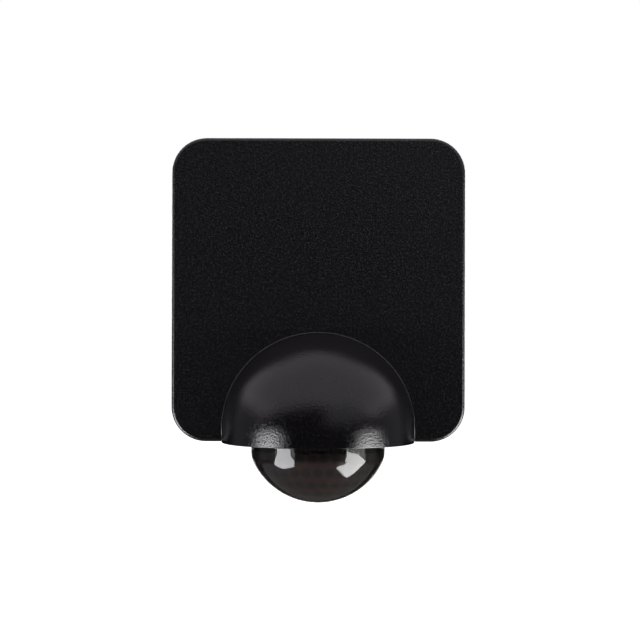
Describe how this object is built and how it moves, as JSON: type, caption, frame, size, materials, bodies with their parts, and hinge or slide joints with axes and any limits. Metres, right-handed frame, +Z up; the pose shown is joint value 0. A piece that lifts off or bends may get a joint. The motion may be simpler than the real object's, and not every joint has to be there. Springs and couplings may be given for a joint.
{
  "type": "wall-mounted motion detector",
  "caption": "Black outdoor motion detector: square pull-off cover over a plug-in module on a wall base, with a quarter-sphere hood shading a dark dome lens that hangs below.",
  "frame": {"origin": "on the wall face of the base, level with the middle of the square front cover", "axes": "+Y into the wall, so the front faces -Y; +Z up; +X to the right as seen from the front"},
  "size_m": [0.113, 0.0851, 0.1396],
  "materials": {
    "cover_plastic": "fine moulded grain, satin black",
    "hood_plastic": "fine moulded grain, satin black",
    "housing_plastic": "fine moulded grain, matt black",
    "inner_plastic": "matt dark grey moulding",
    "lens_plastic": "smooth gloss, infrared-passing near-black plastic",
    "pale_plastic": "matt off-white moulding",
    "button_plastic": "gloss red plastic",
    "clear_plastic": "clear polished plastic",
    "rubber": "matt black rubber",
    "screw_steel": "zinc-plated steel",
    "sensor_can": "drawn nickel-plated can",
    "contact_brass": "bare brass",
    "board": "green solder mask",
    "dark_window": "polished dark filter",
    "relay_blue": "gloss blue case",
    "capacitor_yellow": "gloss yellow box",
    "capacitor_sleeve": "shrunk dark sleeve",
    "winding_tape": "yellow winding tape",
    "fuse_sleeve": "brown sleeve",
    "varistor_blue": "dipped blue coating",
    "pot_grey": "matt grey moulding",
    "ribbon_grey": "ribbed grey cable",
    "led_red": "tinted clear epoxy"
  },
  "bodies": {
    "base": {"wall_bracket": "housing_plastic", "wall_seal": "rubber", "rear_grommet": "rubber", "bottom_grommets": "rubber", "terminal_block": "pale_plastic", "terminal_screws": "screw_steel", "terminal_clamps": "contact_brass", "contact_socket": "pale_plastic", "socket_contacts": "contact_brass"},
    "sensor_module": {"housing_tub": "housing_plastic", "control_deck": "inner_plastic", "deck_seal": "rubber", "deck_screws": "screw_steel", "module_screws": "screw_steel", "hood": "hood_plastic", "hood_screws": "screw_steel", "hood_floor": "hood_plastic", "floor_screws": "screw_steel", "lens_seal": "rubber", "fresnel_lens": "lens_plastic", "lens_ring": "inner_plastic", "ring_screws": "screw_steel", "sensor_carrier": "inner_plastic", "pyro_sensors": "sensor_can", "pyro_windows": "dark_window", "sensor_board": "board", "status_led": "led_red", "light_sensor": "clear_plastic", "status_light_guide": "clear_plastic", "twilight_light_guide": "clear_plastic", "head_connector": "pale_plastic", "sensor_ribbon": "ribbon_grey", "ribbon_header": "pale_plastic", "main_board": "board", "board_screws": "screw_steel", "plug_pins": "contact_brass", "relay": "relay_blue", "film_capacitor": "capacitor_yellow", "smoothing_capacitor": "capacitor_sleeve", "transformer": "winding_tape", "fuse": "fuse_sleeve", "varistor": "varistor_blue", "potentiometers": "pot_grey", "mode_switch_body": "screw_steel", "button_switch": "inner_plastic"},
    "cover": {"front_cover": "cover_plastic"},
    "lock_screw": {"lock_screw": "screw_steel"},
    "time_knob": {"time_knob": "pale_plastic"},
    "twilight_knob": {"twilight_knob": "pale_plastic"},
    "range_knob": {"range_knob": "pale_plastic"},
    "mode_slider": {"mode_slider": "pale_plastic"},
    "test_button": {"test_button": "button_plastic"}
  },
  "joints": [
    {"name": "module_pull", "type": "slide", "parent": "base", "child": "sensor_module", "axis": [0, -1, 0], "range_m": [0, 0.06]},
    {"name": "cover_pull", "type": "slide", "parent": "sensor_module", "child": "cover", "axis": [0, -1, 0], "range_m": [0, 0.095]},
    {"name": "lock_screw_turn", "type": "hinge", "parent": "base", "child": "lock_screw", "pos_m": [0.0414, -0.012, -0.055], "axis": [0, 0, 1], "range_deg": [-720, 0]},
    {"name": "time_knob_turn", "type": "hinge", "parent": "sensor_module", "child": "time_knob", "pos_m": [-0.015, -0.04, 0], "axis": [0, -1, 0], "range_deg": [-135, 135]},
    {"name": "twilight_knob_turn", "type": "hinge", "parent": "sensor_module", "child": "twilight_knob", "pos_m": [0, -0.04, 0], "axis": [0, -1, 0], "range_deg": [-135, 135]},
    {"name": "range_knob_turn", "type": "hinge", "parent": "sensor_module", "child": "range_knob", "pos_m": [0.015, -0.04, 0], "axis": [0, -1, 0], "range_deg": [-135, 135]},
    {"name": "mode_slider_slide", "type": "slide", "parent": "sensor_module", "child": "mode_slider", "axis": [1, 0, 0], "range_m": [-0.002, 0.002]},
    {"name": "test_button_press", "type": "slide", "parent": "sensor_module", "child": "test_button", "axis": [0, 1, 0], "range_m": [0, 0.001], "stiffness_N_per_m": 400}
  ]
}
